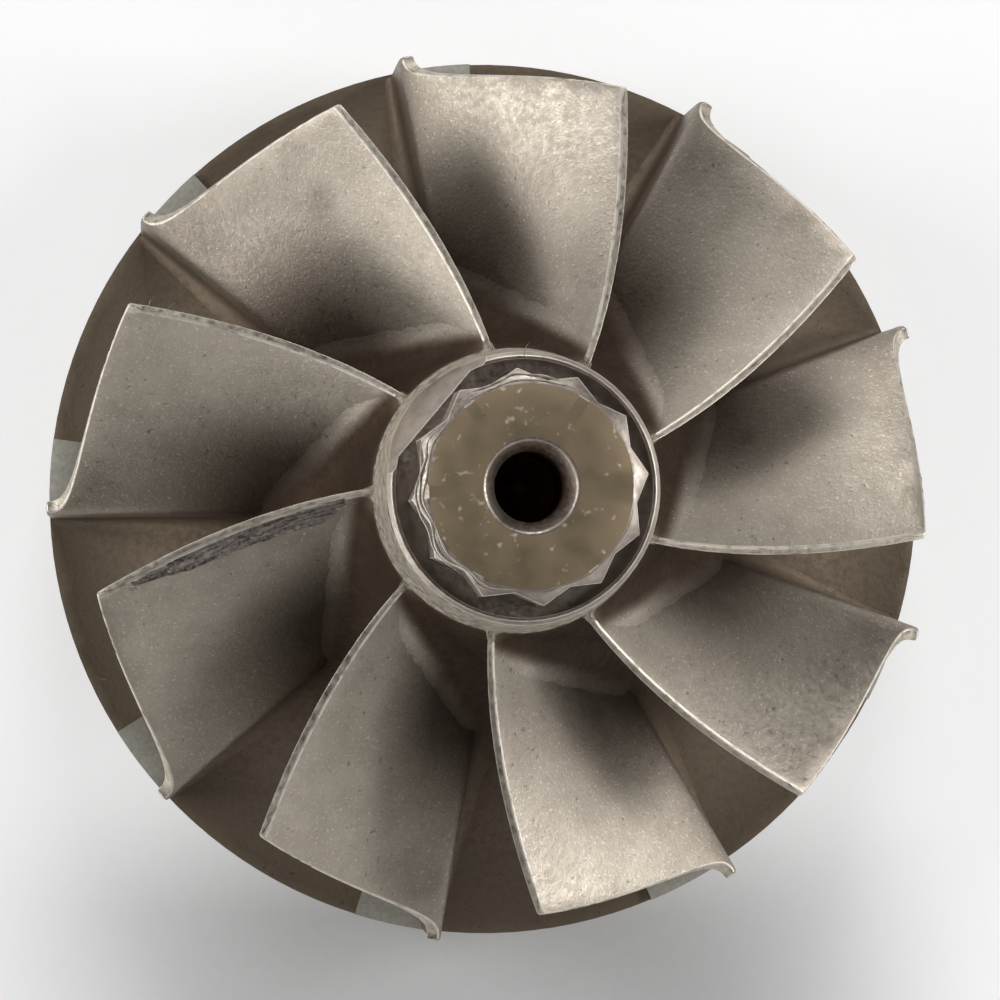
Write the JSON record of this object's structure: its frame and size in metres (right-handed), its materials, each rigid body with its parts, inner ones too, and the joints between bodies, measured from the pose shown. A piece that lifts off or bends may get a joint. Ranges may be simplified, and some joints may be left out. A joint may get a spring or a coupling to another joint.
{
  "type": "turbine wheel",
  "caption": "Cast radial-inflow turbine wheel with swept blades on a full disc, a twelve-point nose drive and a weld boss for a shaft.",
  "frame": {"origin": "centre of the weld boss's flat end, on the wheel's axis", "axes": "+Z along the axis, from the weld boss to the nose; +X and +Y across the disc"},
  "size_m": [0.054, 0.054, 0.0372],
  "materials": {
    "cast_alloy": "fine blasted cast surface, ground edges, turned nose face"
  },
  "bodies": {
    "root": {"turbine_wheel": "cast_alloy"}
  },
  "joints": []
}
